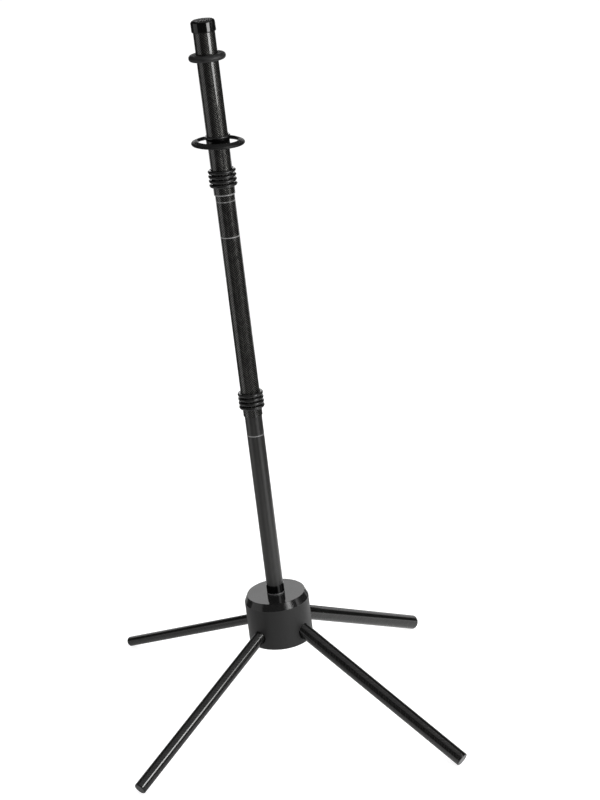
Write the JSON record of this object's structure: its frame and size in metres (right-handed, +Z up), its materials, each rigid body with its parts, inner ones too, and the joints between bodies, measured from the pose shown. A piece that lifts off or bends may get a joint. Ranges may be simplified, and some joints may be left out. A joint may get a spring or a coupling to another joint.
{
  "type": "instrument stand",
  "caption": "Slim collapsible instrument stand: leaning telescopic carbon mast with bell rest and throat ring, round hub and pull-out carbon legs.",
  "frame": {"origin": "on the floor, in the middle of the bounding rectangle of the four leg tips", "axes": "+Z up, +X to the right and +Y away from the viewer of the picture; the mast leans towards -X"},
  "size_m": [0.4018, 0.3994, 0.8331],
  "materials": {
    "carbon_fibre": "clear-coated woven carbon tube",
    "black_acetal": "fine turned, satin",
    "gloss_black_plastic": "polished",
    "black_rubber": "matte to satin",
    "pale_metal": "machined"
  },
  "bodies": {
    "hub": {"hub_body": "black_acetal", "hub_socket_liner": "pale_metal", "socket_grip_front_right": "black_rubber", "socket_grip_front_left": "black_rubber", "socket_grip_rear_left": "black_rubber", "socket_grip_rear_right": "black_rubber"},
    "lower_mast": {"lower_tube": "carbon_fibre", "lower_tube_foot_collar": "gloss_black_plastic", "lower_tube_marker_ring": "pale_metal"},
    "middle_mast": {"middle_tube": "carbon_fibre", "middle_tube_marker_ring": "pale_metal", "middle_oring_1": "black_rubber", "middle_oring_2": "black_rubber", "middle_oring_3": "black_rubber", "middle_oring_4": "black_rubber"},
    "upper_mast": {"upper_tube": "carbon_fibre", "upper_tube_end_ring": "pale_metal", "upper_oring_1": "black_rubber", "upper_oring_2": "black_rubber", "upper_oring_3": "black_rubber", "upper_oring_4": "black_rubber"},
    "cap": {"end_cap": "gloss_black_plastic"},
    "throat_guide": {"throat_ring": "black_rubber"},
    "bell_rest_grip": {"bell_rest_grip_oring": "black_rubber"},
    "bell_rest": {"bell_rest_carrier": "gloss_black_plastic", "bell_rest_rim": "black_rubber"},
    "leg_front_right": {"leg_tube_front_right": "carbon_fibre", "leg_plug_front_right": "gloss_black_plastic"},
    "leg_front_left": {"leg_tube_front_left": "carbon_fibre", "leg_plug_front_left": "gloss_black_plastic"},
    "leg_rear_left": {"leg_tube_rear_left": "carbon_fibre", "leg_plug_rear_left": "gloss_black_plastic"},
    "leg_rear_right": {"leg_tube_rear_right": "carbon_fibre", "leg_plug_rear_right": "gloss_black_plastic"}
  },
  "joints": [
    {"name": "mast_pull_out", "type": "slide", "parent": "hub", "child": "lower_mast", "axis": [-0.0818, -0.0047, 0.9966], "range_m": [0, 0.038]},
    {"name": "middle_telescope", "type": "slide", "parent": "lower_mast", "child": "middle_mast", "axis": [-0.0818, -0.0047, 0.9966], "range_m": [-0.212, 0]},
    {"name": "upper_telescope", "type": "slide", "parent": "middle_mast", "child": "upper_mast", "axis": [-0.0818, -0.0047, 0.9966], "range_m": [-0.118, 0]},
    {"name": "cap_pull_off", "type": "slide", "parent": "upper_mast", "child": "cap", "axis": [-0.0818, -0.0047, 0.9966], "range_m": [0, 0.014]},
    {"name": "throat_ring_slide", "type": "slide", "parent": "upper_mast", "child": "throat_guide", "axis": [-0.0818, -0.0047, 0.9966], "range_m": [-0.04, 0.022]},
    {"name": "bell_rest_slide", "type": "slide", "parent": "upper_mast", "child": "bell_rest_grip", "axis": [-0.0818, -0.0047, 0.9966], "range_m": [-0.026, 0.038]},
    {"name": "bell_rest_swivel", "type": "hinge", "parent": "bell_rest_grip", "child": "bell_rest", "pos_m": [-0.05318, 0.00014, 0.69785], "axis": [-0.0818, -0.0047, 0.9966], "continuous": true},
    {"name": "leg_front_right_pull_out", "type": "slide", "parent": "hub", "child": "leg_front_right", "axis": [0.6991, -0.5824, -0.4149], "range_m": [0, 0.026]},
    {"name": "leg_front_left_pull_out", "type": "slide", "parent": "hub", "child": "leg_front_left", "axis": [-0.5875, -0.6999, -0.4062], "range_m": [0, 0.026]},
    {"name": "leg_rear_left_pull_out", "type": "slide", "parent": "hub", "child": "leg_rear_left", "axis": [-0.6705, 0.6204, -0.4068], "range_m": [0, 0.026]},
    {"name": "leg_rear_right_pull_out", "type": "slide", "parent": "hub", "child": "leg_rear_right", "axis": [0.6206, 0.665, -0.4154], "range_m": [0, 0.026]}
  ]
}
